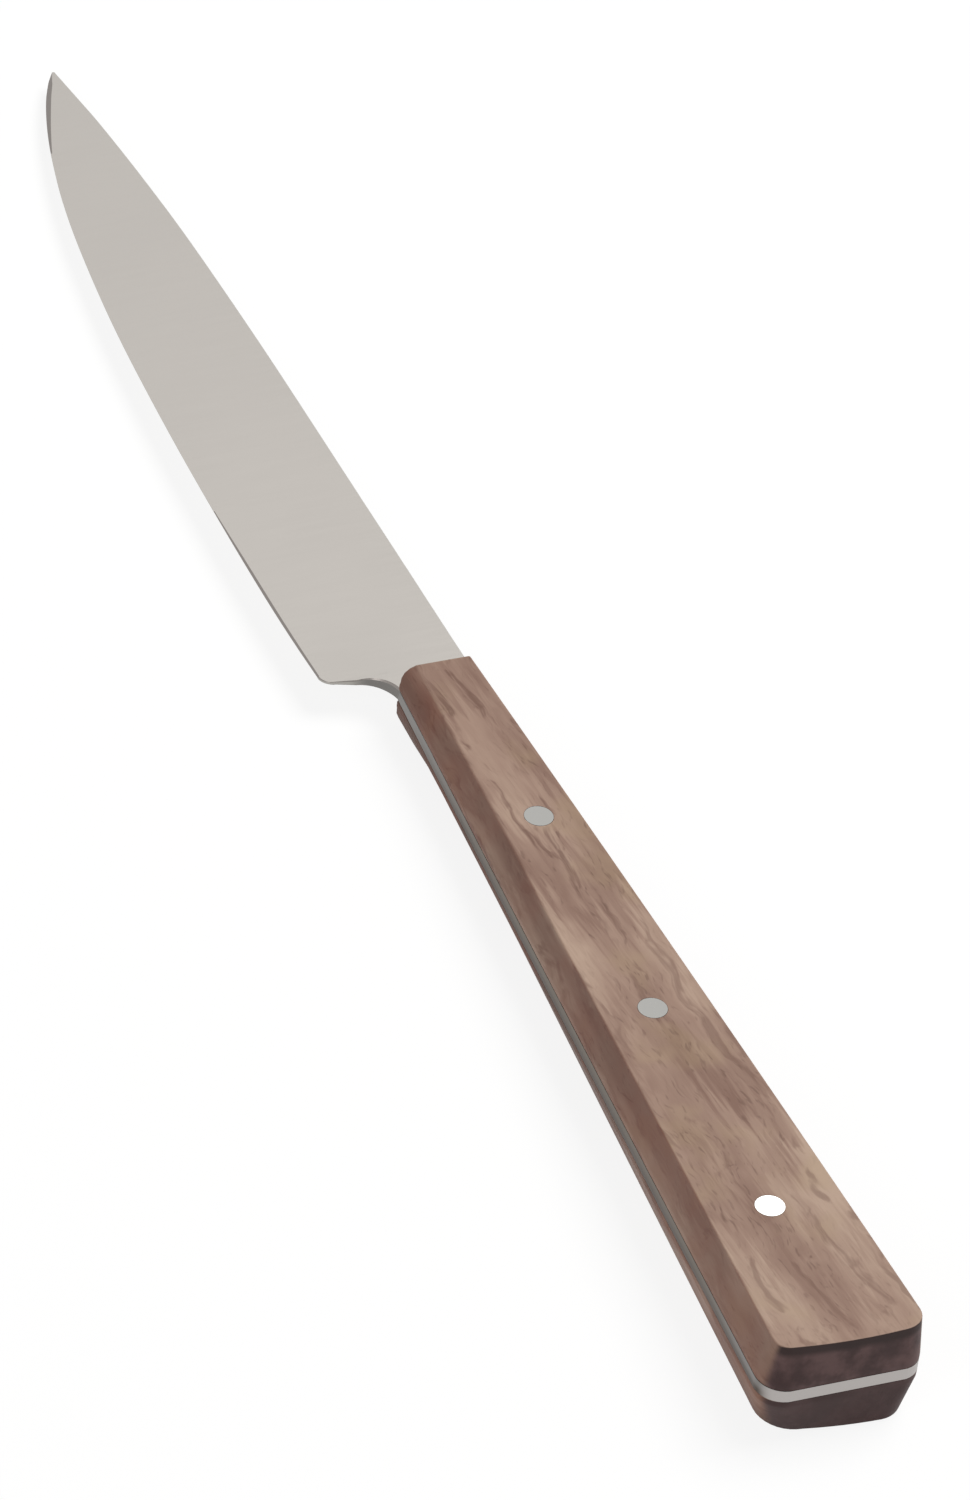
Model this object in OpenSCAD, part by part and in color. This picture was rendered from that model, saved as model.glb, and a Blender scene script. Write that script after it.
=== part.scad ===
// Steak knife with a full tang, two wooden scales and three pins.
// The knife lies on its side on the flat of its lower scale.
// X runs from the tip to the butt, Y from the edge to the spine, Z up.
// All lengths are millimetres.

/* [Blade] */
// Length of blade that shows ahead of the scales
blade_length = 110; // [70:1:160]
// Thickness of the steel sheet that makes blade and tang
steel_thickness = 1.5; // [1:0.1:3]
// Deepest point of the cutting edge, measured from the line of the pins
edge_drop = 13.7; // [11:0.1:20]
// Height of the spine over the line of the pins where it meets the scales
spine_rise = 4.05; // [3:0.05:7]
// How far the tip lies below the line of the pins
tip_drop = 4; // [1:0.1:8]
// Thickness of the spine at the tip
tip_thickness = 0.7; // [0.4:0.05:1]

/* [Edge] */
// Thickness left at the top of the sharpened bevel
bevel_thickness = 0.32; // [0.1:0.01:0.6]
// Width of the sharpened bevel along the straight of the edge
bevel_width = 0.6; // [0.3:0.05:1.5]
// Width of the sharpened bevel near the tip
tip_bevel_width = 0.9; // [0.3:0.05:2]
// Thickness of the very edge
edge_land = 0.04; // [0.02:0.01:0.1]

/* [Heel] */
// Distance from the scales to the back of the heel
heel_setback = 3; // [1.5:0.1:6]
// Distance over which the back of the heel curves into the scales
neck_reach = 3.9; // [2:0.1:5]
// Radius of the heel corner
heel_radius = 1.5; // [0.5:0.1:3]
// How much the back of the heel leans toward the tip
heel_lean = 0.5; // [0.1:0.05:1]
// Width of the broken corners around the heel and the neck
corner_break = 0.12; // [0.05:0.01:0.2]
// Length ahead of the scales over which the ground face runs out to the full thickness
run_out = 14; // [6:1:30]
// Height over the edge above which the face runs out
run_rise = 7; // [4:0.5:8]

/* [Handle] */
// Length of the scales
handle_length = 112.5; // [90:0.5:140]
// Half width at the tang on the edge side, where the scales start
front_edge_side = 5.1; // [4.5:0.05:7]
// Half width at the tang on the edge side at the butt
butt_edge_side = 8.9; // [7.5:0.05:12]
// How far the edge side bows out halfway along the handle
edge_side_bow = 0.1; // [0:0.05:0.6]
// Half width at the tang on the spine side, where the scales start
front_spine_side = 4.25; // [4.1:0.05:6]
// Half width at the tang on the spine side at the butt
butt_spine_side = 9.35; // [7.5:0.05:12]
// How far the spine side bows out halfway along the handle
spine_side_bow = 0.25; // [0:0.05:0.8]
// Radius of the butt corner on the edge side
butt_edge_radius = 3.2; // [2.2:0.1:6]
// Radius of the butt corner on the spine side
butt_spine_radius = 2.6; // [2.2:0.1:5]

/* [Scales] */
// Thickness of each scale where it starts
scale_front_thickness = 3.25; // [2.5:0.05:6]
// Thickness of each scale at the butt
scale_butt_thickness = 5.4; // [3:0.05:8]
// Radius of the long ridges between flat and side facets
ridge_radius = 0.5; // [0.1:0.05:0.7]
// Radius of the rim between flat and end at the butt
butt_rim_radius = 0.6; // [0.2:0.05:0.8]
// Radius of the rim between flat and end at the front
front_rim_radius = 0.4; // [0.1:0.05:1]
// Height of the upright band that runs round each scale beside the tang
side_band = 0.7; // [0.3:0.1:1.5]
// Height of that band at the front of the edge side, where the facet starts higher
front_band = 0.9; // [0.5:0.1:2]
// Length over which the band comes down behind the front
band_run = 16; // [5:1:40]
// How far the edge side facet comes in from tang to flat at the front
front_edge_facet = 1.65; // [0.5:0.05:2]
// How far the edge side facet comes in from tang to flat at the butt
butt_edge_facet = 1.15; // [0.2:0.05:2]
// How far the spine side facet comes in from tang to flat at the front
front_spine_facet = 1.5; // [0.5:0.05:2]
// How far the spine side facet comes in from tang to flat at the butt
butt_spine_facet = 0.15; // [0.1:0.05:2]
// How far the end of each scale comes in from tang to flat
butt_end_facet = 0.2; // [0.1:0.05:1]
// How far the flat's rim at the butt falls back at the edge side
butt_rim_bow = 0.7; // [0.1:0.05:1]
// Distance from the line of the pins to the middle of that bow
butt_rim_middle = 2.5; // [0:0.1:4]
// Radius of the flat's butt corner on the edge side
flat_edge_radius = 1.3; // [0.9:0.1:2]
// Radius of the flat's butt corner on the spine side
flat_spine_radius = 2.6; // [0.9:0.1:4]

/* [Lower scale] */
// How far its edge side facet comes in from tang to flat at the butt
lower_edge_facet = 1.4; // [0.2:0.05:2.5]
// How far its spine side facet comes in from tang to flat at the butt
lower_spine_facet = 1.1; // [0.2:0.05:2.5]
// How far its end comes in from tang to flat
lower_end_facet = 0.1; // [0.1:0.05:0.5]
// How far its flat's rim at the butt falls back at the edge side
lower_rim_bow = 0.9; // [0.1:0.05:1]
// Distance from the line of the pins to the middle of that bow
lower_rim_middle = 6; // [0:0.1:6.5]
// Radius of its long ridges
lower_ridge_radius = 0.7; // [0.3:0.05:1.5]
// Radius of its flat's butt corner on the edge side
lower_edge_radius = 4; // [2:0.1:5]
// Radius of its flat's butt corner on the spine side
lower_spine_radius = 3; // [1.6:0.1:4]

/* [Pins] */
// Diameter of the pins
pin_diameter = 3.2; // [2:0.1:5]
// Distance from the front of the scales to the front pin
front_pin_setback = 26.8; // [10:0.1:30]
// Distance from one pin to the next
pin_pitch = 32; // [20:0.1:36]
// Play of the pins in their holes, on the diameter
pin_clearance = 0.06; // [0.02:0.01:0.2]

/* [Hidden] */

// Overrun that cuts and joined solids share
overrun = 1;

// Counts
blade_stations = 30;
corner_stations = 6;
neck_stations = 8;
side_stations = 12;
corner_steps = 8;
rim_steps = 5;
end_steps = 5;
round_sides = 48;

// Edge line, as shares of the blade's length from the tip and of the drop below the tip
edge_shares = [
    [0, 0],
    [0.009, 0.065],
    [0.018, 0.126],
    [0.044, 0.262],
    [0.081, 0.409],
    [0.118, 0.527],
    [0.156, 0.625],
    [0.194, 0.709],
    [0.25, 0.801],
    [0.327, 0.887],
    [0.405, 0.948],
    [0.482, 0.98],
    [0.595, 1],
    [0.709, 0.994],
    [0.823, 0.968],
    [0.9, 0.93],
    [1, 0.85],
];

// Spine line, as shares of the blade's length from the tip and of the rise over the tip
spine_shares = [
    [0, 0],
    [0.049, 0.118],
    [0.089, 0.209],
    [0.151, 0.316],
    [0.213, 0.406],
    [0.273, 0.483],
    [0.364, 0.576],
    [0.482, 0.675],
    [0.6, 0.752],
    [0.715, 0.822],
    [0.829, 0.893],
    [0.943, 0.961],
    [1, 1],
];

// Shares of the blade's length over which the tip's grind runs in
tip_taper_share = 0.32;
tip_bevel_share = 0.4;

// Share of the blade's width that the bevel may take where the tip is narrow
bevel_room_share = 0.3;

// Places across the blade's face that each ring has, from bevel to spine
face_shares = [0, 0.25, 0.55, 1];

// Half thicknesses of the steel
half_steel = steel_thickness / 2;
half_tip = tip_thickness / 2;
half_bevel = bevel_thickness / 2;
half_land = edge_land / 2;

// Slope of each flat against the tang, which is also the angle that lays the lower flat level
flat_angle = atan((scale_butt_thickness - scale_front_thickness) / handle_length);
front_half_height = half_steel + scale_front_thickness;
butt_half_height = half_steel + scale_butt_thickness;

// Straight line between a front and a butt value at x
function along_handle(front, butt, x) = front + (butt - front) * x / handle_length;

// Half width of the handle beside the tang at x
function side_at(front, butt, bow, x) =
    let (t = x / handle_length)
    along_handle(front, butt, x) + 4 * bow * t * (1 - t);

// Half height of the handle over the tang's middle plane at x
function half_height(x) = along_handle(front_half_height, butt_half_height, x);

// Smooth run from 0 to 1
function smooth_step(t) = let (c = min(max(t, 0), 1)) c * c * (3 - 2 * c);

// Value of a table of shares at s, with a smooth curve through its points
function slope_at(table, i) =
    let (a = max(i - 1, 0), b = min(i + 1, len(table) - 1))
    (table[b][1] - table[a][1]) / (table[b][0] - table[a][0]);
function segment_of(table, s, i = 0) =
    i >= len(table) - 2 || s <= table[i + 1][0] ? i : segment_of(table, s, i + 1);
function curve_at(table, s) =
    let (
        i = segment_of(table, s),
        w = table[i + 1][0] - table[i][0],
        t = (s - table[i][0]) / w,
        p = table[i][1],
        q = table[i + 1][1],
        m = slope_at(table, i) * w,
        n = slope_at(table, i + 1) * w
    )
    p * (2 * t ^ 3 - 3 * t ^ 2 + 1) + m * (t ^ 3 - 2 * t ^ 2 + t)
        + q * (3 * t ^ 2 - 2 * t ^ 3) + n * (t ^ 3 - t ^ 2);

// Edge and spine of the blade at the share s of its length from the tip
function edge_y(s) = -tip_drop - (edge_drop - tip_drop) * curve_at(edge_shares, s);
function spine_y(s) = -tip_drop + (spine_rise + tip_drop) * curve_at(spine_shares, s);
function spine_half(s) = half_tip + (half_steel - half_tip) * smooth_step(s / tip_taper_share);
function bevel_at(s) =
    tip_bevel_width + (bevel_width - tip_bevel_width) * smooth_step(s / tip_bevel_share);

// Share of the blade's length at a place ahead of the scales
function share_at(x) = 1 + x / blade_length;

// Neck between the heel and the scales
neck_radius = (heel_setback ^ 2 + neck_reach ^ 2) / (2 * heel_setback);
neck_sweep = 2 * atan(heel_setback / neck_reach);
heel_start_x = -heel_setback - heel_lean - heel_radius;
heel_corner_y = edge_y(share_at(heel_start_x)) + heel_radius;
neck_start_y = -front_edge_side - neck_reach;

// Half thickness of the blade at x and y: a flat grind that runs out to the full steel at the scales
function face_half(x, y) =
    let (
        s = share_at(x),
        low = edge_y(s),
        up = (y - low) / (spine_y(s) - low),
        ground = half_bevel + (spine_half(s) - half_bevel) * min(up, 1),
        run = smooth_step(1 + x / run_out) * smooth_step((y - low) / run_rise)
    )
    ground + (half_steel - ground) * run;

// One ring of the blade round edge, bevel, face and spine
function ring(x, low_y, low_half, bevel_y, top_y) =
    let (
        upper = concat(
            [[low_y, low_half]],
            [for (t = face_shares) let (y = bevel_y + (top_y - bevel_y) * t) [y, face_half(x, y)]]
        )
    )
    concat(
        [for (p = upper) [x, p[0], p[1]]],
        [for (i = [len(upper) - 1:-1:0]) [x, upper[i][0], -upper[i][1]]]
    );

// Ring in the sharpened length
function sharp_ring(s) =
    let (
        low = edge_y(s),
        top = spine_y(s),
        room = (top - low) * bevel_room_share
    )
    ring((s - 1) * blade_length, low, half_land, low + min(bevel_at(s), room), top);

// Ring behind the edge, round the heel and up the neck
function neck_ring(x, low_y) =
    let (flare = (front_spine_side - spine_rise) * smooth_step(1 + x / heel_setback))
    ring(
        x, low_y, face_half(x, low_y) - corner_break / 2,
        low_y + corner_break, spine_y(share_at(x)) + flare
    );

// Rings from the tip to the scales
tip_start_share = 0.012;
heel_start_share = share_at(heel_start_x);
sharp_rings = [
    for (i = [0:blade_stations])
        let (t = i / blade_stations)
        sharp_ring(tip_start_share + (heel_start_share - tip_start_share) * t ^ 1.5)
];
corner_rings = [
    for (i = [1:corner_stations])
        let (a = 90 * i / corner_stations)
        neck_ring(
            heel_start_x + heel_radius * sin(a),
            heel_corner_y - heel_radius * cos(a)
        )
];
neck_rings = [
    for (i = [0:neck_stations])
        let (a = neck_sweep * i / neck_stations)
        neck_ring(
            neck_radius * (1 - cos(a)) - heel_setback,
            neck_start_y + neck_radius * sin(a)
        )
];
inner_ring = [for (p = neck_rings[neck_stations]) [overrun, p[1], p[2]]];
blade_rings = concat(sharp_rings, corner_rings, neck_rings, [inner_ring]);
ring_size = len(blade_rings[0]);
blade_points = concat(
    [[-blade_length, -tip_drop, 0]],
    [for (r = blade_rings) for (p = r) p]
);
blade_faces = concat(
    [for (j = [0:ring_size - 1]) [0, 1 + (j + 1) % ring_size, 1 + j]],
    [
        for (i = [0:len(blade_rings) - 2])
            for (j = [0:ring_size - 1])
                let (a = 1 + i * ring_size, b = a + ring_size, k = (j + 1) % ring_size)
                each [[a + j, b + k, b + j], [a + j, a + k, b + k]]
    ],
    [[for (j = [0:ring_size - 1]) 1 + (len(blade_rings) - 1) * ring_size + j]]
);

// Slope of the last stretch of a side, which its corner circle touches
last_side_x = handle_length * (side_stations - 1) / side_stations;
function end_slope(front, butt, bow) =
    (butt - side_at(front, butt, bow, last_side_x)) / (handle_length - last_side_x);

// Height over the tang's middle plane at which a side's upright band ends at x
function band_top_at(side, x) =
    half_steel + side_band + (side < 0 ? (front_band - side_band) * (1 - smooth_step(x / band_run)) : 0);

// Rim of the flat round the butt, bowed out past the line of the pins.
// A rim is how far the end comes in, how far the bow falls back, and where the bow's middle is.
upper_rim = [butt_end_facet, butt_rim_bow, butt_rim_middle];
lower_rim = [lower_end_facet, lower_rim_bow, lower_rim_middle];
function rim_x(rim, y) =
    handle_length - rim[0] - rim[1] * ((y - rim[2]) / butt_edge_side) ^ 2;

// One column of points up the outside of a scale: the band, the leaning facet and the ridge's round.
// It stands on the outline at p, and its ridge is at q, from where the flat lies inward.
function column(p, q, inward, radius, band_top) =
    let (
        facet = norm(q - p),
        upward = (q - p) / facet,
        lean = atan2(half_height(q[0]) - band_top, facet),
        reach = radius * tan(lean / 2)
    )
    concat(
        [[p[0], p[1], half_steel], [p[0], p[1], band_top]],
        [
            for (i = [0:rim_steps])
                let (
                    a = lean * (1 - i / rim_steps),
                    d = reach - radius * sin(a),
                    r = q + d * (d < 0 ? upward : inward)
                )
                [r[0], r[1], half_height(r[0]) - radius * (1 - cos(a))]
        ]
    );

// Column at a front corner, where the upright front rounds over into the flat
function front_column(y, inward, facet, band_top) =
    concat(
        [[0, y, half_steel], [0, y, band_top]],
        [
            for (i = [0:rim_steps])
                let (
                    a = 90 * (1 - i / rim_steps),
                    x = front_rim_radius * (1 - sin(a)),
                    depth = front_rim_radius * (1 - cos(a))
                )
                [
                    x,
                    y + inward * facet * (1 - depth / (front_half_height - band_top)),
                    half_height(x) - depth
                ]
        ]
    );

// Centre of a butt corner of the outline, and the slope of the side that it touches
function outline_corner(front, butt, bow, radius) =
    let (slope_angle = atan(end_slope(front, butt, bow)))
    [handle_length - radius, butt - radius * (tan(slope_angle) + 1 / cos(slope_angle)), slope_angle];

// Centre of a butt corner of the flat
function flat_corner(rim, side, front, butt, bow, facets, radius) =
    let (x = rim_x(rim, side * (butt - facets[1] - radius)) - radius)
    [x, side_at(front, butt, bow, x) - along_handle(facets[0], facets[1], x) - radius];

// Columns of one side from the front to the end of its butt corner: side is -1 at the edge, 1 at the spine.
// facets are the side facet's widths at the front and at the butt.
function side_columns(rim, side, front, butt, bow, radius, facets, flat_radius, round_radius) =
    let (
        foot = outline_corner(front, butt, bow, radius),
        top = flat_corner(rim, side, front, butt, bow, facets, flat_radius)
    )
    concat(
        [front_column(side * front, -side, facets[0], band_top_at(side, 0))],
        [
            for (i = [1:side_stations - 1])
                let (
                    x = handle_length * i / side_stations,
                    y = side_at(front, butt, bow, x)
                )
                column(
                    [x, side * y],
                    [x, side * (y - along_handle(facets[0], facets[1], x))],
                    [0, -side],
                    round_radius,
                    band_top_at(side, x)
                )
        ],
        [
            for (i = [0:corner_steps])
                let (
                    t = i / corner_steps,
                    a = (90 + foot[2]) * (1 - t),
                    b = 90 * (1 - t)
                )
                column(
                    [foot[0] + radius * cos(a), side * (foot[1] + radius * sin(a))],
                    [top[0] + flat_radius * cos(b), side * (top[1] + flat_radius * sin(b))],
                    [-cos(b), -side * sin(b)],
                    round_radius + (butt_rim_radius - round_radius) * smooth_step(t),
                    band_top_at(side, handle_length)
                )
        ]
    );

// Columns across the end, between the two butt corners, which give the rim its bow
function end_columns(rim, edge_foot, edge_top, spine_foot, spine_top) =
    [
        for (i = [1:end_steps - 1])
            let (
                t = i / end_steps,
                y = -edge_top[1] + (spine_top[1] + edge_top[1]) * t
            )
            column(
                [handle_length, -edge_foot[1] + (spine_foot[1] + edge_foot[1]) * t],
                [rim_x(rim, y), y],
                [-1, 0],
                butt_rim_radius,
                band_top_at(1, handle_length)
            )
    ];

// All columns of a scale, round from the front of the edge side to the front of the spine side
function scale_columns(rim, edge_facets, edge_radius, spine_facets, spine_radius, round_radius) =
    let (
        edge = side_columns(
            rim, -1, front_edge_side, butt_edge_side, edge_side_bow, butt_edge_radius,
            edge_facets, edge_radius, round_radius
        ),
        spine = side_columns(
            rim, 1, front_spine_side, butt_spine_side, spine_side_bow, butt_spine_radius,
            spine_facets, spine_radius, round_radius
        ),
        end = end_columns(
            rim,
            outline_corner(front_edge_side, butt_edge_side, edge_side_bow, butt_edge_radius),
            flat_corner(rim, -1, front_edge_side, butt_edge_side, edge_side_bow, edge_facets, edge_radius),
            outline_corner(front_spine_side, butt_spine_side, spine_side_bow, butt_spine_radius),
            flat_corner(rim, 1, front_spine_side, butt_spine_side, spine_side_bow, spine_facets, spine_radius)
        )
    )
    concat(edge, end, [for (i = [len(spine) - 1:-1:0]) spine[i]]);

upper_columns = scale_columns(
    upper_rim,
    [front_edge_facet, butt_edge_facet], flat_edge_radius,
    [front_spine_facet, butt_spine_facet], flat_spine_radius,
    ridge_radius
);
lower_columns = scale_columns(
    lower_rim,
    [front_edge_facet, lower_edge_facet], lower_edge_radius,
    [front_spine_facet, lower_spine_facet], lower_spine_radius,
    lower_ridge_radius
);

// Outline of the tang, which both scales share
handle_outline = [for (c = upper_columns) [c[0][0], c[0][1]]];

// Faces of a scale: its columns in a ring, closed by the tang's face and by the flat
column_count = len(upper_columns);
column_size = len(upper_columns[0]);
scale_faces = concat(
    [[for (i = [0:column_count - 1]) i * column_size]],
    [
        for (i = [0:column_count - 1])
            for (j = [0:column_size - 2])
                let (
                    a = i * column_size + j,
                    b = (i + 1) % column_count * column_size + j
                )
                each [[a, a + 1, b + 1], [a, b + 1, b]]
    ],
    [[for (i = [column_count - 1:-1:0]) (i + 1) * column_size - 1]]
);

// Pin positions from the front of the scales
front_pin_x = front_pin_setback;
middle_pin_x = front_pin_x + pin_pitch;
rear_pin_x = middle_pin_x + pin_pitch;
pin_hole = pin_diameter + pin_clearance;

module pin_holes(bottom, top) {
    for (x = [front_pin_x, middle_pin_x, rear_pin_x])
        translate([x, 0, bottom])
            cylinder(d = pin_hole, h = top - bottom, $fn = round_sides);
}

// Scale of these columns over the tang, in the tang's own frame
module scale_body(columns) {
    difference() {
        polyhedron(points = [for (c = columns) for (p = c) p], faces = scale_faces);
        pin_holes(half_steel - overrun, butt_half_height + overrun);
    }
}

// Band between the two flats, which the pins are ground flush with
module flat_band() {
    wide = pin_diameter + 2 * overrun;
    translate([0, wide / 2, 0])
        rotate([90, 0, 0])
            linear_extrude(wide)
                polygon([
                    [0, -front_half_height],
                    [handle_length, -butt_half_height],
                    [handle_length, butt_half_height],
                    [0, front_half_height],
                ]);
}

module pin(x) {
    intersection() {
        translate([x, 0, -butt_half_height])
            cylinder(d = pin_diameter, h = 2 * butt_half_height, $fn = round_sides);
        flat_band();
    }
}

// Frame of the part: the lower flat level on the ground, the box's middle over the origin
level_end_x = handle_length * cos(flat_angle) + (half_steel + side_band) * sin(flat_angle);
level_tip_x = -blade_length * cos(flat_angle);
outline_ys = [for (p = handle_outline) p[1]];
spine_reach = max(outline_ys);
edge_reach = max(edge_drop, -min(outline_ys));
middle_x = (level_end_x + level_tip_x) / 2;
middle_y = (spine_reach - edge_reach) / 2;
rest_height = front_half_height * cos(flat_angle);

module placed() {
    translate([-middle_x, -middle_y, rest_height])
        rotate([0, -flat_angle, 0])
            children();
}

// Blade and tang in one piece of steel
module blade_and_tang() {
    color([0.75, 0.74, 0.72])
        placed()
            difference() {
                union() {
                    polyhedron(points = blade_points, faces = blade_faces);
                    translate([0, 0, -half_steel])
                        linear_extrude(steel_thickness)
                            polygon(handle_outline);
                }
                pin_holes(-half_steel - overrun, half_steel + overrun);
            }
}

// Scale on the upper face of the tang
module upper_scale() {
    color([0.43, 0.28, 0.2])
        placed()
            scale_body(upper_columns);
}

// Scale on the lower face of the tang
module lower_scale() {
    color([0.4, 0.26, 0.18])
        placed()
            mirror([0, 0, 1])
                scale_body(lower_columns);
}

// Pin nearest the blade
module front_pin() {
    color([0.72, 0.72, 0.7])
        placed()
            pin(front_pin_x);
}

// Pin in the middle
module middle_pin() {
    color([0.72, 0.72, 0.7])
        placed()
            pin(middle_pin_x);
}

// Pin nearest the butt
module rear_pin() {
    color([0.72, 0.72, 0.7])
        placed()
            pin(rear_pin_x);
}

blade_and_tang();
upper_scale();
lower_scale();
front_pin();
middle_pin();
rear_pin();
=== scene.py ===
import math

import bmesh
import bpy
from mathutils import Matrix, Vector


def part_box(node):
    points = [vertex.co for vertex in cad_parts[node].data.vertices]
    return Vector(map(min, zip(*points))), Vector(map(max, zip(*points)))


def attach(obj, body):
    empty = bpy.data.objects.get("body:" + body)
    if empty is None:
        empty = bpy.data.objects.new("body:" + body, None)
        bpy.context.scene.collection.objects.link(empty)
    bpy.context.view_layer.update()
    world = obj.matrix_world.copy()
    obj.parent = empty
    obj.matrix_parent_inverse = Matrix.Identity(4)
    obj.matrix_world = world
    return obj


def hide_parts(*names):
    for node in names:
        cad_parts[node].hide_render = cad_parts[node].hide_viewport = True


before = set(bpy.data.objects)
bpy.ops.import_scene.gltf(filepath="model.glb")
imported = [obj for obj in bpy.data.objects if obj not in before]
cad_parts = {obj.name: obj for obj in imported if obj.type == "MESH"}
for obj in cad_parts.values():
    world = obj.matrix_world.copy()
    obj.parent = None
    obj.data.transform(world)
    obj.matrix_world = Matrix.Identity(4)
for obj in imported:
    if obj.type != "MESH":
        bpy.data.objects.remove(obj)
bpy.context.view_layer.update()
print("packed knife loaded:", ", ".join(sorted(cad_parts)))

# Sizes that more than one piece reads, in millimetres in the tang's own frame:
# X from the front of the scales to the butt, Y from edge to spine, Z over the tang's middle
knife = {
    "bladeLength": 110.0,
    "handleLength": 112.5,
    "steelThickness": 1.5,
    "edgeDrop": 13.7,
    "frontThickness": 3.25,      # of a scale where it starts
    "buttThickness": 5.4,        # of a scale at the butt
    "edgeSide": (5.1, 8.9, 0.1),      # half width at the front, at the butt, bow halfway
    "spineSide": (4.25, 9.35, 0.25),
    "edgeCorner": 3.2,           # radius of the butt corner on each side
    "spineCorner": 2.6,
    "pinPlaces": (26.8, 58.8, 90.8),
    "pinDiameter": 3.2,
    "pinSides": 48,
}
mmPerMetre = 1000
toMm = (mmPerMetre, mmPerMetre, mmPerMetre)
nearly = 1e-3                # mm, less than the way between any two points of a piece
flatWeight = 80              # of large faces over small ones in the normals, of 100
halfSteel = knife["steelThickness"] / 2
handleLength = knife["handleLength"]
flatSlope = (knife["buttThickness"] - knife["frontThickness"]) / handleLength
flatAngle = math.atan(flatSlope)


def tangToRow():
    # the tang leans so that the lower flat is level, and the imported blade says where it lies
    low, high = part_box("blade_and_tang")
    tipX = -knife["bladeLength"] * math.cos(flatAngle)
    lift = (halfSteel + knife["frontThickness"]) * math.cos(flatAngle)
    shift = Vector((low.x * mmPerMetre - tipX, low.y * mmPerMetre + knife["edgeDrop"], lift))
    turn = Matrix.Rotation(-flatAngle, 4, "Y")
    return Matrix.Scale(1 / mmPerMetre, 4) @ Matrix.Translation(shift) @ turn


def smoothStep(t):
    c = min(max(t, 0.0), 1.0)
    return c * c * (3 - 2 * c)


def mixed(a, b, t):
    return a + (b - a) * t


def sideAt(side, x):
    front, butt, bow = knife["edgeSide"] if side < 0 else knife["spineSide"]
    t = x / handleLength
    return mixed(front, butt, t) + 4 * bow * t * (1 - t)


def halfHeight(x):
    return halfSteel + knife["frontThickness"] + flatSlope * x


def addPiece(name, bm, materials, nodeName):
    # puts a finished mesh in the row frame and lets it stand for its node
    bmesh.ops.transform(bm, matrix=tangToRow(), verts=bm.verts)
    bmesh.ops.recalc_face_normals(bm, faces=bm.faces)
    mesh = bpy.data.meshes.new(name)
    bm.to_mesh(mesh)
    bm.free()
    for material in materials:
        mesh.materials.append(material)
    piece = bpy.data.objects.new(name, mesh)
    bpy.context.scene.collection.objects.link(piece)
    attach(piece, "root")
    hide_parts(nodeName)
    return piece


def shadeSmooth(piece, sharpDegrees):
    # smooth faces, creases kept, and flats that stay flat beside their rounds
    for polygon in piece.data.polygons:
        polygon.use_smooth = True
    piece.data.set_sharp_from_angle(angle=math.radians(sharpDegrees))
    weights = piece.modifiers.new("flatsStayFlat", "WEIGHTED_NORMAL")
    weights.keep_sharp = True
    weights.weight = flatWeight


# colours and nodes


def linear(hexColour):
    parts = [int(hexColour[i:i + 2], 16) / 255 for i in (1, 3, 5)]
    return [c / 12.92 if c <= 0.04045 else ((c + 0.055) / 1.055) ** 2.4 for c in parts] + [1.0]


def addNode(tree, kind, inputs=None, **settings):
    # settings are the node's properties, inputs its sockets' values or what is linked to them
    node = tree.nodes.new(kind)
    for key, value in settings.items():
        setattr(node, key, value)
    for key, value in (inputs or {}).items():
        if isinstance(value, bpy.types.NodeSocket):
            tree.links.new(value, node.inputs[key])
        else:
            node.inputs[key].default_value = value
    return node


def setRamp(node, stops):
    ramp = node.color_ramp
    while len(ramp.elements) > 1:
        ramp.elements.remove(ramp.elements[-1])
    for i, (place, colour) in enumerate(stops):
        element = ramp.elements[0] if i == 0 else ramp.elements.new(place)
        element.position = place
        element.color = colour


def newMaterial(name):
    material = bpy.data.materials.new(name)
    material.use_nodes = True
    tree = material.node_tree
    tree.nodes.clear()
    shader = addNode(tree, "ShaderNodeBsdfPrincipled")
    addNode(tree, "ShaderNodeOutputMaterial", {"Surface": shader.outputs["BSDF"]})
    return material, tree, shader


def grey(level):
    return [level, level, level, 1.0]


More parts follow.
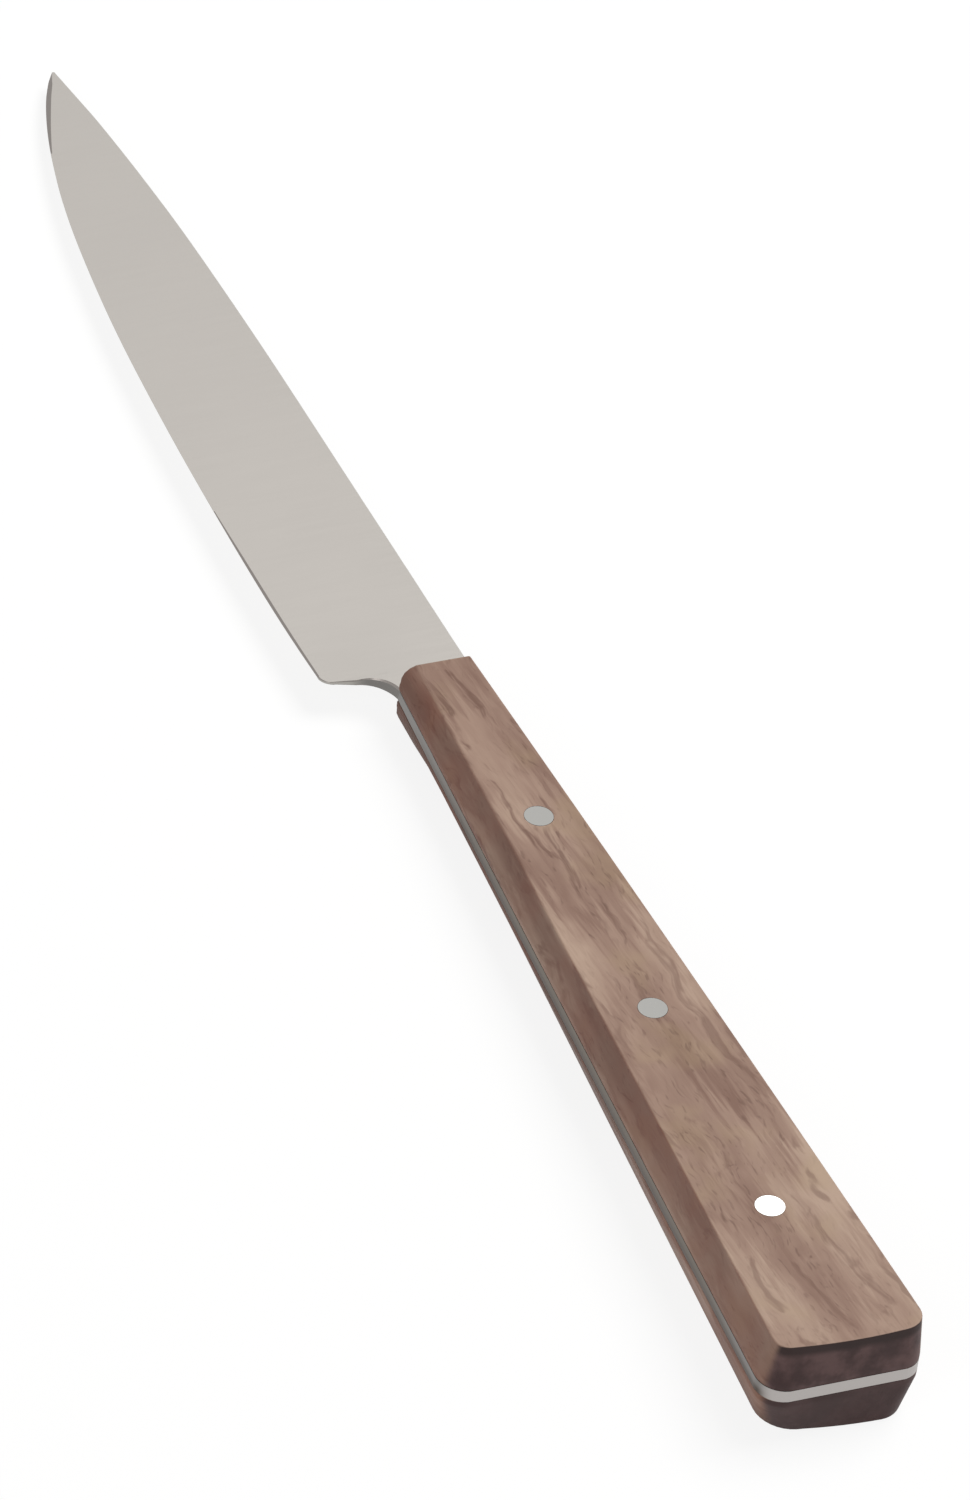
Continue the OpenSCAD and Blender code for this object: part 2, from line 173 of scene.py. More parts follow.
# Walnut: an open-pored brown timber, planed, sanded and rubbed with oil. It gives a soft low
# sheen, tan and brown figure with feathery borders, wandering dark streaks, short dark flecks
# and a much darker end grain. A noise is its stretch along the grain, the width of its features
# in mm and its detail. A ramp is where it starts and ends, and the strengths there.
walnut = {
    "pale": "#BFA490",
    "middle": "#A78A79",
    "dark": "#886A5C",
    "side": "#915547",       # side facets lie across the growth rings, where the timber is redder
    "sap": "#B59C7C",        # yellower clouds, left from the border to the sapwood
    "streak": "#735548",
    "fleck": "#64493D",
    "endPale": "#6E5553",
    "endDark": "#4A3736",
    "rimShadow": "#342624",      # painted shadow on the end grain just under the upper rim
    "grainLean": 4.5,        # degrees between the figure and the handle's length
    "grainRoughness": 0.55,  # share of the finer features in each noise below that has a width
    "fibreNoise": (0.06, 0.7, 2.0),      # drawn coarser than real fibres so that they show
    "patchNoise": (0.3, 8.0, 3.0),
    "streakNoise": (0.06, 1.7, 3.0),
    "fleckNoise": (0.22, 0.5, 1.0),      # real pores are about 0.15 mm
    "wobbleNoise": (0.12, 3.0, 2.0),
    "rippleNoise": {"Scale": 0.11, "Detail": 2.5, "Roughness": 0.5},
    "cloudNoise": {"Scale": 0.13, "Detail": 2.0, "Roughness": 0.5},
    "mottleNoise": {"Scale": 0.28, "Detail": 3.0, "Roughness": 0.6},
    "feather": 24.0,         # mm that a patch's border is drawn out along the fibres
    "wander": 5.0,           # mm that the figure wanders sideways
    "wobble": 1.6,           # mm that a growth line wobbles
    "toneShares": (0.14, 1.6, -0.36),    # of the fibres and the patches, and a shift
    "toneStops": (0.2, 0.48, 0.76),      # of the dark, middle and pale colours
    "frontRun": (0.004, 0.03),           # m, where the darker front runs out
    "streakRun": (0.025, 0.055, (0.8, 0.5)),
    "streakRamp": (0.55, 0.68, (0, 1)),
    "sapRamp": (0.5, 0.7, (0, 0.3)),
    "lineFade": (62.0, 100.0, (1.0, 0.3)),
    "fleckGather": (0.38, 0.58, (0.42, 0.08)),
    "fleckRamp": (0.58, 0.74, (0, 1)),
    "sideRamp": (0.3, 0.75, (0, 1)),
    "sideClouds": (0.35, 0.65, (0.16, 0.42)),
    "mottleRun": (0.35, 0.65),
    "rimShadowHeights": (4.6, 5.5),          # mm over the tang's middle, from none to full
    "rimHighlightEndways": (0.05, 0.25, (0, 0.3)),
    "rimHighlightSideways": (0.1, 0.3, (1, 0)),
    "endRamp": (0.32, 0.7, (0, 1.0)),
    "poreDepth": -1.4,       # against the fibres' height
    "relief": {"Strength": 0.25, "Distance": 0.00008},
    "roughTones": (0.1, 0.9, (0.66, 0.5)),
    "refraction": 1.5,
    "specular": 0.25,
}

# The two boards that the scales are cut from. Each has a dark growth line along the edge side:
# linePlace in mm, y = -(first + second * x), its half width with and without the border, and its
# ramp along the handle. On the lower board this line, strongest towards the front, is also painted
# shade under the neck. endLight: share of paler spots in the end grain. The shadow share: how far
# the painted shadow under the upper rim covers the end grain. frontTone: added to the figure's
# tone at the front, and under 0 it is darker there.
upperBoard = {
    "offset": (0, 0, 0),
    "endLight": 1.0,
    "rimShadowShare": 0.9,
    "frontTone": -0.16,
    "lineColour": "#735548",
    "linePlace": (3.95, 0.038),
    "lineWidths": (0.2, 0.75),
    "lineRun": (6.0, 30.0, (0.15, 0.5)),
}
lowerBoard = {
    "offset": (37, 11, 19),
    "endLight": 0.3,
    "rimShadowShare": 0.0,
    "frontTone": 0.0,
    # painted shade: this dark line, strongest towards the front, also stands for the shade under
    # the neck
    "lineColour": "#53463F",
    "linePlace": (5.1, 0.033),
    "lineWidths": (1.0, 2.2),
    "lineRun": (60.0, 98.0, (0.75, 0.05)),
}


def spread(tree, value, low, high, to, smooth=True):
    # takes a value from one range to another
    return addNode(tree, "ShaderNodeMapRange", {
        "Value": value, "From Min": low, "From Max": high, "To Min": to[0], "To Max": to[1]},
        interpolation_type="SMOOTHSTEP" if smooth else "LINEAR").outputs["Result"]


def calc(tree, operation, *values):
    return addNode(tree, "ShaderNodeMath", dict(enumerate(values)),
                   operation=operation).outputs["Value"]


def blend(tree, factor, a, b):
    return addNode(tree, "ShaderNodeMix", {"Factor": factor, "A": a, "B": b},
                   data_type="RGBA", blend_type="MIX").outputs["Result"]


def plainNoise(tree, vector, settings):
    return addNode(tree, "ShaderNodeTexNoise", {"Vector": vector, **settings}).outputs


def grainNoise(tree, vector, stretch, width, detail):
    # noise of features so many mm wide, drawn out along the grain
    drawn = addNode(tree, "ShaderNodeMapping", {
        "Vector": vector, "Scale": (stretch, 1, 1)}).outputs["Vector"]
    return plainNoise(tree, drawn, {
        "Scale": 1 / width, "Detail": detail, "Roughness": walnut["grainRoughness"]})["Fac"]


def split(tree, vector):
    return addNode(tree, "ShaderNodeSeparateXYZ", {"Vector": vector}).outputs


def heightOverTang(tree, coords):
    # mm over the tang's middle plane
    place, turn, size = tangToRow().inverted().decompose()
    inTang = addNode(tree, "ShaderNodeMapping", {
        "Vector": coords, "Location": place, "Rotation": turn.to_euler(), "Scale": size})
    return split(tree, inTang.outputs["Vector"])["Z"]


def growthLineAndShade(tree, coords, board):
    # one dark growth line, in mm from the front of the scales and from the tang's middle line. On
    # the lower board it is also painted shade under the neck
    start, lean = board["linePlace"]
    shift = tangToRow().to_translation() * mmPerMetre
    shifted = addNode(tree, "ShaderNodeMapping", {
        "Vector": coords, "Scale": toMm, "Location": -shift}).outputs["Vector"]
    place = split(tree, shifted)
    away = calc(tree, "MULTIPLY_ADD", place["X"], lean, calc(tree, "ADD", place["Y"], start))
    wobble = grainNoise(tree, shifted, *walnut["wobbleNoise"])
    away = calc(tree, "ABSOLUTE", calc(tree, "MULTIPLY_ADD", wobble, walnut["wobble"], calc(
        tree, "SUBTRACT", away, walnut["wobble"] / 2)))
    line = spread(tree, away, *board["lineWidths"], (1.0, 0.0))
    fade = spread(tree, place["X"], *walnut["lineFade"])
    return calc(tree, "MULTIPLY", calc(tree, "MULTIPLY", line, fade),
                spread(tree, place["X"], *board["lineRun"]))


def makeWalnut(name, board):
    material, tree, shader = newMaterial(name)
    w = walnut
    coords = addNode(tree, "ShaderNodeTexCoord").outputs["Object"]
    placed = addNode(tree, "ShaderNodeMapping", {
        "Vector": coords, "Scale": toMm, "Location": board["offset"],
        "Rotation": (0, 0, math.radians(-w["grainLean"]))}).outputs["Vector"]
    fibres = grainNoise(tree, placed, *w["fibreNoise"])
    # the figure wanders sideways, and its borders are feathered along the fibres
    ripple = plainNoise(tree, placed, w["rippleNoise"])["Color"]
    middled = addNode(tree, "ShaderNodeVectorMath", {0: ripple, 1: (0.5, 0.5, 0.5)},
                      operation="SUBTRACT").outputs["Vector"]
    wander = addNode(tree, "ShaderNodeVectorMath", {
        0: middled, 1: (0, w["wander"], w["wander"])}, operation="MULTIPLY").outputs["Vector"]
    feather = addNode(tree, "ShaderNodeCombineXYZ", {"X": calc(
        tree, "MULTIPLY", calc(tree, "SUBTRACT", fibres, 0.5), w["feather"])}).outputs["Vector"]
    wandering = addNode(tree, "ShaderNodeVectorMath", {0: placed, 1: wander}).outputs["Vector"]
    feathered = addNode(tree, "ShaderNodeVectorMath", {
        0: wandering, 1: feather}).outputs["Vector"]
    patches = grainNoise(tree, feathered, *w["patchNoise"])
    clouds = plainNoise(tree, wandering, w["cloudNoise"])["Fac"]
    # the figure is lighter or darker, and more streaked, towards the blade
    along = split(tree, coords)["X"]
    fibreShare, patchShare, shift = w["toneShares"]
    tone = calc(tree, "MULTIPLY_ADD", fibres, fibreShare,
                calc(tree, "MULTIPLY_ADD", patches, patchShare, shift))
    tone = calc(tree, "ADD", tone, spread(tree, along, *w["frontRun"], (board["frontTone"], 0.0)))
    figure = addNode(tree, "ShaderNodeValToRGB", {"Fac": tone})
    setRamp(figure, zip(w["toneStops"], [linear(w[key]) for key in ("dark", "middle", "pale")]))
    streaks = calc(tree, "MULTIPLY", spread(tree, along, *w["streakRun"]), spread(
        tree, grainNoise(tree, wandering, *w["streakNoise"]), *w["streakRamp"]))
    colour = blend(tree, spread(tree, clouds, *w["sapRamp"]), figure.outputs["Color"],
                   linear(w["sap"]))
    colour = blend(tree, streaks, colour, linear(w["streak"]))
    colour = blend(tree, growthLineAndShade(tree, coords, board), colour, linear(board["lineColour"]))
    # flecks gather in the darker patches
    flecks = calc(tree, "MULTIPLY", spread(tree, patches, *w["fleckGather"]), spread(
        tree, grainNoise(tree, wandering, *w["fleckNoise"]), *w["fleckRamp"]))
    colour = blend(tree, flecks, colour, linear(w["fleck"]))
    normal = split(tree, addNode(tree, "ShaderNodeNewGeometry").outputs["Normal"])
    endways = calc(tree, "ABSOLUTE", normal["X"])
    sideways = calc(tree, "ABSOLUTE", normal["Y"])
    sideTint = calc(tree, "MULTIPLY", spread(tree, sideways, *w["sideRamp"]),
                    spread(tree, clouds, *w["sideClouds"]))
    colour = blend(tree, sideTint, colour, linear(w["side"]))
    # painted highlight: the rounded rims of the flat are drawn a little paler
    rimHighlight = calc(tree, "MULTIPLY", spread(tree, endways, *w["rimHighlightEndways"]),
                spread(tree, sideways, *w["rimHighlightSideways"]))
    colour = blend(tree, rimHighlight, colour, linear(w["pale"]))
    # end grain drinks more oil, so faces square to the length go darker
    mottle = plainNoise(tree, placed, w["mottleNoise"])["Fac"]
    endGrain = blend(tree, spread(tree, mottle, *w["mottleRun"], (0, board["endLight"])),
                     linear(w["endDark"]), linear(w["endPale"]))
    # painted shadow on the end grain under the upper rim, by height over the tang
    rimShadow = spread(tree, heightOverTang(tree, coords), *w["rimShadowHeights"],
                   (0, board["rimShadowShare"]))
    endGrain = blend(tree, rimShadow, endGrain, linear(w["rimShadow"]))
    colour = blend(tree, spread(tree, endways, *w["endRamp"]), colour, endGrain)
    height = calc(tree, "MULTIPLY_ADD", flecks, w["poreDepth"], fibres)
    bump = addNode(tree, "ShaderNodeBump", {"Height": height, **w["relief"]}).outputs["Normal"]
    tree.links.new(colour, shader.inputs["Base Color"])
    tree.links.new(spread(tree, tone, *w["roughTones"], False), shader.inputs["Roughness"])
    tree.links.new(bump, shader.inputs["Normal"])
    shader.inputs["IOR"].default_value = w["refraction"]
    shader.inputs["Specular IOR Level"].default_value = w["specular"]
    return material


# Stainless steel, ground and then satin finished: an even pale grey with hair-fine lines
# across the blade and slight clouds from handling. Its edges are belt ground, darker along the
# sides and paler round the heel; painted shade dulls them between the scales, most on the lower
# half, and a painted reflection brightens them at the butt. Ramps along the knife are in metres.
steel = {
    "satin": {"colour": "#C1BCB6", "roughness": 0.22, "relief": 0.006},
    "ground": {"colour": "#7B7875", "roughness": 0.36, "relief": 0.1},
    "honed": {"colour": "#8A8480", "roughness": 0.25, "relief": 0.05},
    "pin": {"colour": "#B3B2AE", "roughness": 0.1, "relief": 0.0},
    # painted shade: the strip between the scales is drawn dull where it mirrors the floor's shadow
    "tang": "#5F564A",
    "lowerStripShade": "#463A31",      # painted shade on the lower half of the strip between the scales
    "heel": "#ABA8A2",
    # painted reflection: steel faces turned to the butt are drawn brighter
    "butt": "#B0ABA8",
    "stripShadeStart": (0.0, 0.03, (0, 1)),
    "stripShadeEnd": (0.09, 0.11, (1, 0)),
    "lowerStripShadeStart": (0.0, 0.02, (0, 1)),
    "lowerStripShadeHeights": (-0.5, 0.4, (0.9, 0)),    # mm over the tang's middle
    "heelSide": (-0.0076, -0.0052, (1, 0)),
    "heelEnd": (-0.003, -0.001, (1, 0)),
    "buttReflectionTurn": (0.2, 0.8, (0, 1)),
    "buttReflectionStart": (0.08, 0.1, (0, 1)),
    "tipRamp": (-0.105, -0.03, (0.05, 0)),    # darker towards the tip
    "cloudRamp": (0.3, 0.7, (0.0, 0.03)),
    "lineShare": 0.02,
    "wearLevel": 0.2,
    "roughRun": (0.25, 0.75),
    "roughReach": 0.03,
    "lineSpacing": 0.3,      # mm, real satin lines are about 0.05
    "lineNoise": {"Detail": 2.0, "Roughness": 0.6},
    "cloudNoise": {"Scale": 45.0, "Detail": 2.0, "Roughness": 0.5},
    "linesAcross": (1, 0.03, 0.5),
    "linesAlong": (0.03, 1, 1),
    "reliefDepth": 0.00002,
}


def edgeTint(tree, coords, place, tint):
    # the ground edges from the heel to the butt, with painted shade between the scales and a
    # painted reflection at the butt
    s = steel
    turned = split(tree, addNode(tree, "ShaderNodeNewGeometry").outputs["Normal"])["X"]
    # painted shade along the strip between the scales
    stripShade = calc(tree, "MULTIPLY", spread(tree, place["X"], *s["stripShadeStart"]),
                spread(tree, place["X"], *s["stripShadeEnd"]))
    # painted shade, deeper on the strip's lower half
    lowerStripShade = calc(tree, "MULTIPLY", spread(tree, place["X"], *s["lowerStripShadeStart"]),
                 spread(tree, heightOverTang(tree, coords), *s["lowerStripShadeHeights"]))
    atHeel = calc(tree, "MULTIPLY", spread(tree, place["Y"], *s["heelSide"]),
                  spread(tree, place["X"], *s["heelEnd"]))
    # painted reflection on the faces turned to the butt
    buttReflection = calc(tree, "MULTIPLY", spread(tree, turned, *s["buttReflectionTurn"]),
                  spread(tree, place["X"], *s["buttReflectionStart"]))
    for share, key in ((stripShade, "tang"), (lowerStripShade, "lowerStripShade"), (atHeel, "heel"), (buttReflection, "butt")):
        tint = blend(tree, share, tint, linear(s[key]))
    return tint


def makeSteel(name, surface, stretch, isEdge=False):
    material, tree, shader = newMaterial(name)
    s = steel
    coords = addNode(tree, "ShaderNodeTexCoord").outputs["Object"]
    place = split(tree, coords)
    drawn = addNode(tree, "ShaderNodeMapping", {
        "Vector": coords, "Scale": [mmPerMetre * share for share in stretch]}).outputs["Vector"]
    lines = plainNoise(tree, drawn, {"Scale": 1 / s["lineSpacing"], **s["lineNoise"]})["Fac"]
    clouds = plainNoise(tree, coords, s["cloudNoise"])["Fac"]
    tint = linear(surface["colour"])
    if isEdge:
        tint = edgeTint(tree, coords, place, tint)
    wear = calc(tree, "MULTIPLY_ADD", lines, s["lineShare"], spread(tree, clouds, *s["cloudRamp"]))
    wear = calc(tree, "ADD", wear, spread(tree, place["X"], *s["tipRamp"]))
    tint = blend(tree, wear, tint, grey(s["wearLevel"]))
    middle, reach = surface["roughness"], s["roughReach"]
    rough = spread(tree, lines, *s["roughRun"], (middle - reach, middle + reach), False)
    bump = addNode(tree, "ShaderNodeBump", {
        "Height": lines, "Strength": surface["relief"],
        "Distance": s["reliefDepth"]}).outputs["Normal"]
    tree.links.new(tint, shader.inputs["Base Color"])
    tree.links.new(rough, shader.inputs["Roughness"])
    tree.links.new(bump, shader.inputs["Normal"])
    shader.inputs["Metallic"].default_value = 1.0
    return material


# Blade and tang, one piece of steel drawn out section by section from the butt to the tip
blade = {
    "spineRise": 4.05,
    "tipDrop": 4.0,
    "tipThickness": 0.7,
    # honed bevel: shares of the blade's length from the tip, with the steel's thickness over the
    # bevel and the bevel's width in mm
    "bevelThicknesses": ((0, 0.32), (0.09, 0.3), (0.14, 0.05), (0.66, 0.05), (0.78, 0.27),
                         (1, 0.32)),
    "bevelWidths": ((0, 0.5), (0.05, 0.6), (0.09, 0.42), (0.14, 0.1), (0.22, 0.06),
                    (0.66, 0.06), (0.78, 0.24), (0.85, 0.27), (0.92, 0.22), (1, 0.12)),
    "unhoned": (0.13, 0.7),     # shares between which the edge shows no honed bevel
    "edgeLand": 0.04,
    "leastBevel": 1.1,          # thickness over the bevel against the edge's own
    "mostBevel": 0.3,           # share of the blade's depth that a bevel may take
    "spineTaper": 0.32,         # share from the tip where the spine has its full thickness
    "heelSetback": 3.0,
    "neckReach": 3.9,
    "heelRadius": 1.5,
    "heelLean": 0.5,
    "cornerBreak": 0.12,
    "neckBreak": 0.3,        # the neck's corners are eased more
    # the ground face runs out to full thickness ahead of the scales, from so far over the edge
    "runOut": 14.0,
    "runStart": 2.4,
    "runRise": 4.8,
    "faceShares": (0, 0.12, 0.26, 0.42, 0.6, 0.8, 1),   # points across the face, bevel to spine
    "spineBreak": 0.14,      # easing of the spine's two corners
    "spineSegments": 3,
    "creaseAngle": 12.5,     # the eased corners stay crisp and bend no light on the flats
    "stations": 72,
    "crowding": 1.6,         # of the stations towards the tip
    "firstShare": 0.003,     # last station before the tip itself
    "tangStations": 8,
    "tangShift": 3,          # mm that they lie ahead of even steps, clear of the round corners
    "buttStations": 10,
    "buttInset": 0.02,
    "cornerStations": 8,
    "neckStations": 16,
    # edge and spine lines: shares of the blade's length from the tip, and of the drop or rise
    "edgeLine": ((0, 0), (0.009, 0.065), (0.018, 0.126), (0.044, 0.262), (0.081, 0.409),
                 (0.118, 0.527), (0.156, 0.625), (0.194, 0.709), (0.25, 0.801),
                 (0.327, 0.887), (0.405, 0.948), (0.482, 0.98), (0.595, 1), (0.709, 0.994),
                 (0.823, 0.968), (0.9, 0.93), (1, 0.85)),
    "spineLine": ((0, 0), (0.049, 0.118), (0.089, 0.209), (0.151, 0.316), (0.213, 0.406),
                  (0.273, 0.483), (0.364, 0.576), (0.482, 0.675), (0.6, 0.752),
                  (0.715, 0.822), (0.829, 0.893), (0.943, 0.961), (1, 1)),
}


def lineAt(table, s):
    # smooth curve through a table of shares
    last = len(table) - 2
    i = next((k for k in range(last) if s <= table[k + 1][0]), last)

    def slope(k):
        a, b = max(k - 1, 0), min(k + 1, len(table) - 1)
        return (table[b][1] - table[a][1]) / (table[b][0] - table[a][0])

    w = table[i + 1][0] - table[i][0]
    t = (s - table[i][0]) / w
    p, q, m, n = table[i][1], table[i + 1][1], slope(i) * w, slope(i + 1) * w
    return (p * (2 * t ** 3 - 3 * t ** 2 + 1) + m * (t ** 3 - 2 * t ** 2 + t)
            + q * (3 * t ** 2 - 2 * t ** 3) + n * (t ** 3 - t ** 2))


def edgeY(s):
    drop = knife["edgeDrop"] - blade["tipDrop"]
    return -blade["tipDrop"] - drop * lineAt(blade["edgeLine"], s)


def spineY(s):
    rise = blade["spineRise"] + blade["tipDrop"]
    return -blade["tipDrop"] + rise * lineAt(blade["spineLine"], s)


def buttLine(side, x):
    # side of the tang with its round butt corner
    radius = knife["edgeCorner"] if side < 0 else knife["spineCorner"]
    wide = sideAt(side, x)
    past = x - (handleLength - radius)
    return wide if past <= 0 else wide - radius + math.sqrt(max(radius ** 2 - past ** 2, 0))


def faceHalf(x, y):
    # half thickness: a flat grind that runs out to the full steel at the scales
    share = 1 + x / knife["bladeLength"]
    low, top = edgeY(share), spineY(share)
    halfBevel = max(lineAt(blade["bevelThicknesses"], share),
                    blade["edgeLand"] * blade["leastBevel"]) / 2
    spineHalf = mixed(blade["tipThickness"] / 2, halfSteel,
                      smoothStep(share / blade["spineTaper"]))
    ground = mixed(halfBevel, spineHalf, min((y - low) / (top - low), 1))
    run = (smoothStep(1 + x / blade["runOut"])
           * smoothStep((y - low - blade["runStart"]) / blade["runRise"]))
    return mixed(ground, halfSteel, run)


def section(x, low, lowHalf, bevelY, top, thickness):
    # one ring of corners round the steel: edge, bevel, face and spine, and back on the other side
    upper = [(low, lowHalf)]
    upper += [(y, thickness(x, y)) for y in (mixed(bevelY, top, t) for t in blade["faceShares"])]
    return [Vector((x, y, z)) for y, z in upper] + [Vector((x, y, -z)) for y, z in reversed(upper)]


def tangSections():
    around, along = blade["buttStations"], blade["tangStations"]
    turns = [math.radians(90 * k / around) for k in range(1, around + 1)]
    xs = [handleLength - knife["edgeCorner"] * (1 - math.cos(turn)) for turn in turns]
    xs += [handleLength * (1 - k / along) - blade["tangShift"] for k in range(1, along)]
    sections = []
    for x in [handleLength - blade["buttInset"]] + xs:
        low, top = -buttLine(-1, x), buttLine(1, x)
        sections.append(section(x, low, halfSteel, low + blade["cornerBreak"], top,
                                lambda x, y: halfSteel))
    return sections


def neckSection(x, low):
    b = blade
    flare = (knife["spineSide"][0] - b["spineRise"]) * smoothStep(1 + x / b["heelSetback"])
    top = spineY(1 + x / knife["bladeLength"]) + flare
    eased = mixed(b["cornerBreak"], b["neckBreak"], smoothStep((low - edgeY(1)) / b["neckReach"]))
    return section(x, low, faceHalf(x, low) - eased / 2, low + eased, top, faceHalf)


def neckSections():
    # from the scales down the neck's hollow, round the heel corner
    b = blade
    radius = (b["heelSetback"] ** 2 + b["neckReach"] ** 2) / (2 * b["heelSetback"])
    sweep = 2 * math.atan(b["heelSetback"] / b["neckReach"])
    startY = -knife["edgeSide"][0] - b["neckReach"]
    heelX = -b["heelSetback"] - b["heelLean"] - b["heelRadius"]
    cornerY = edgeY(1 + heelX / knife["bladeLength"]) + b["heelRadius"]
    sections = []
    for i in range(b["neckStations"], -1, -1):
        a = sweep * i / b["neckStations"]
        sections.append(neckSection(radius * (1 - math.cos(a)) - b["heelSetback"],
                                    startY + radius * math.sin(a)))
    for i in range(b["cornerStations"], 0, -1):
        a = math.pi / 2 * i / b["cornerStations"]
        sections.append(neckSection(heelX + b["heelRadius"] * math.sin(a),
                                    cornerY - b["heelRadius"] * math.cos(a)))
    return sections


def sharpSections():
    b = blade
    heelShare = 1 + (-b["heelSetback"] - b["heelLean"] - b["heelRadius"]) / knife["bladeLength"]
    sections = []
    for i in range(b["stations"], -1, -1):
        s = mixed(b["firstShare"], heelShare, (i / b["stations"]) ** b["crowding"])
        low, top = edgeY(s), spineY(s)
        bevel = lineAt(b["bevelWidths"], s)
        sections.append(section((s - 1) * knife["bladeLength"], low, b["edgeLand"] / 2,
                                low + min(bevel, (top - low) * b["mostBevel"]), top, faceHalf))
    return sections


def makeBlade(materials):
    # materials: 0 the faces, 1 the ground edges, 2 the honed bevel
    bm = bmesh.new()
    parts = tangSections(), neckSections(), sharpSections()
    count = len(parts[0][0])
    # corners 0 and 1 are the edge and the bevel's end, spineCorner and the next the spine
    spineCorner = count // 2 - 1
    rings = []
    end = bm.faces.new([bm.verts.new(p) for p in parts[0][0]])
    end.material_index = 1
    rings.append(list(end.verts))
    for places in [p for part in parts for p in part][1:]:
        out = bmesh.ops.extrude_face_region(bm, geom=[end] + list(end.edges))["geom"]
        end = next(g for g in out if isinstance(g, bmesh.types.BMFace))
        # the new ring lies on the old one until each corner is taken to its own place
        new = list(end.verts)
        ring = [min(new, key=lambda v: (v.co - old.co).length) for old in rings[-1]]
        for corner, place in zip(ring, places):
            corner.co = place
        rings.append(ring)
    last = len(rings) - 1

    def stripFace(i, a):
        edge = bm.edges.get((rings[i][a], rings[i + 1][a]))
        other = bm.edges.get((rings[i][(a + 1) % count], rings[i + 1][(a + 1) % count]))
        return next(f for f in edge.link_faces if f in other.link_faces)

    def strip(a, start):
        return [bm.edges.get((rings[i][a], rings[i + 1][a])) for i in range(start, last)]

    for i in range(last):
        for a in range(count):
            if a in (spineCorner, count - 1):
                stripFace(i, a).material_index = 1
            elif a in (0, count - 2):
                share = 1 + rings[i][0].co.x / knife["bladeLength"]
                low, high = blade["unhoned"]
                honedHere = i >= len(parts[0]) and not low < share < high
                stripFace(i, a).material_index = 1 if i < len(parts[0]) else 2 * honedHere
            else:
                stripFace(i, a).material_index = 0
    spine = strip(spineCorner, len(parts[0])) + strip(spineCorner + 1, len(parts[0]))
    tip = Vector((-knife["bladeLength"], -blade["tipDrop"], 0))
    bmesh.ops.pointmerge(bm, verts=rings[last], merge_co=tip)
    spine = [e for e in spine if e.is_valid]
    bmesh.ops.bevel(bm, geom=spine, offset=blade["spineBreak"], offset_type="OFFSET",
                    segments=blade["spineSegments"], profile=0.5, affect="EDGES", material=-1,
                    clamp_overlap=True)
    piece = addPiece("bladeAndTang", bm, materials, "blade_and_tang")
    shadeSmooth(piece, blade["creaseAngle"])


# Scales: an outline raised in levels, with leaning side facets, then rounded and drilled
scale = {
    "sideBand": 0.7,         # upright band beside the tang
    "frontBand": 0.9,        # the same at the front of the edge side
    "bandRun": 16.0,
    "jointBreak": 0.1,       # small chamfer against the steel, which reads as the dark joint line
    "frontSwell": 0.6,       # of the edge side's facet at the front, where it is rounded by hand
    "swellRun": 13.0,
    "swellCuts": 3,
    "swellLean": (0, -0.82, 0.57),
    "sideSteps": 23,
    "endSteps": 5,
    "cornerSteps": 9,
    "cornerPull": 0.9,       # share of the side from which points follow the ridge's corner
    "roundSegments": 5,
    "creaseAngle": 38,
    "pinPlay": 0.06,
    "holeBreak": 0.02,
    "mouthWidth": 1.6,       # of a hole's broken mouth, against holeBreak
    "mouthRise": 0.6,
    "cutterDip": 1,          # mm that the hole's cutter reaches below the joint
}
# edge and spine: the side facet's width at front and butt, radius of the flat's butt corner.
# rim: how far the end comes in, how far the bow falls back, and where the bow's middle is.
# round: width that the rounded ridges and rims take from the flat.
upperShape = {
    "edge": (1.65, 1.15, 1.8),
    "spine": (1.5, 0.15, 2.6),
    "rim": (0.28, 0.7, 2.5),
    "round": 0.42,
}
lowerShape = {
    "edge": (1.65, 1.4, 4.0),
    "spine": (1.5, 1.1, 3.0),
    "rim": (0.02, 0.78, 6.0),
    "round": 0.25,
}


def rimX(shape, y):
    endFacet, bow, middle = shape["rim"]
    return handleLength - endFacet - bow * ((y - middle) / knife["edgeSide"][1]) ** 2


def flatCorner(side, shape):
    # centre of the flat's butt corner and its radius
    frontFacet, buttFacet, radius = shape["edge"] if side < 0 else shape["spine"]
    butt = (knife["edgeSide"] if side < 0 else knife["spineSide"])[1]
    x = rimX(shape, side * (butt - buttFacet - radius)) - radius
    facet = mixed(frontFacet, buttFacet, x / handleLength)
    return x, side * (sideAt(side, x) - facet - radius), radius


def ridgePlace(x, y, shape):
    # where the ridge stands over a point of the outline
    side = -1 if y < 0 else 1
    footRadius = knife["edgeCorner"] if side < 0 else knife["spineCorner"]
    footX = handleLength - footRadius
    footY = side * (sideAt(side, handleLength) - footRadius)
    if x <= footX + nearly:
        frontFacet, buttFacet, radius = shape["edge"] if side < 0 else shape["spine"]
        cornerX = flatCorner(side, shape)[0]
        place = Vector((x * cornerX / footX if x > scale["cornerPull"] * footX else x, 0))
        facet = mixed(frontFacet, buttFacet, place.x / handleLength)
        place.y = side * (sideAt(side, place.x) - facet)
    elif side * (y - footY) > nearly:
        turn = math.atan2(side * (y - footY), x - footX)
        centreX, centreY, radius = flatCorner(side, shape)
        place = Vector((centreX + radius * math.cos(turn),
                        centreY + side * radius * math.sin(turn)))
    else:
        low, high = (-(knife["edgeSide"][1] - knife["edgeCorner"]),
                     knife["spineSide"][1] - knife["spineCorner"])
        across = (y - low) / (high - low)
        ridgeY = mixed(flatCorner(-1, shape)[1], flatCorner(1, shape)[1], across)
        place = Vector((rimX(shape, ridgeY), ridgeY))
    return Vector((place.x, place.y, halfHeight(place.x)))


def bandPlace(x, y):
    more = scale["frontBand"] - scale["sideBand"] if y < 0 else 0
    band = scale["sideBand"] + more * (1 - smoothStep(x / scale["bandRun"]))
    return Vector((x, y, halfSteel + band))


